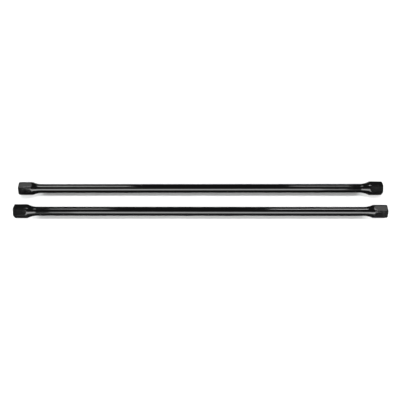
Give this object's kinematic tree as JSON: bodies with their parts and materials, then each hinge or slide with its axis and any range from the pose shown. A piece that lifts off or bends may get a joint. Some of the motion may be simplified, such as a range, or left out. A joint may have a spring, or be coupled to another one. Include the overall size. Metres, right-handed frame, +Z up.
{
  "type": "torsion bar pair",
  "caption": "Left and right spring-steel torsion bars with round shafts and upset hexagonal heads, gloss black, lying side by side.",
  "frame": {"origin": "on the floor under the middle of the pair: centre of the box in plan, at its lowest face", "axes": "+X along the bars (right bar: from anchor end to arm end), +Y from the left bar to the right bar, +Z up"},
  "size_m": [0.909, 0.103, 0.0342],
  "materials": {
    "shaft_coat": "gloss black coat over drawn spring-steel bar",
    "head_coat": "semi-gloss black coat over forged upset hexagon"
  },
  "bodies": {
    "left_anchor_end": {"left_anchor_hex": "head_coat", "left_shaft": "shaft_coat"},
    "left_arm_end": {"left_arm_hex": "head_coat"},
    "right_anchor_end": {"right_anchor_hex": "head_coat", "right_shaft": "shaft_coat"},
    "right_arm_end": {"right_arm_hex": "head_coat"}
  },
  "joints": [
    {"name": "left_twist", "type": "hinge", "parent": "left_anchor_end", "child": "left_arm_end", "pos_m": [-0.39925, -0.03415, 0.01704], "axis": [-1, 0, 0.0014], "range_deg": [-45, 0], "stiffness_Nm_per_rad": 2185},
    {"name": "right_lift", "type": "slide", "parent": "left_anchor_end", "child": "right_anchor_end", "axis": [0, 0, 1], "range_m": [0, 0.2]},
    {"name": "right_twist", "type": "hinge", "parent": "right_anchor_end", "child": "right_arm_end", "pos_m": [0.39925, 0.03415, 0.01704], "axis": [1, 0, 0.0014], "range_deg": [0, 45], "stiffness_Nm_per_rad": 2185}
  ]
}
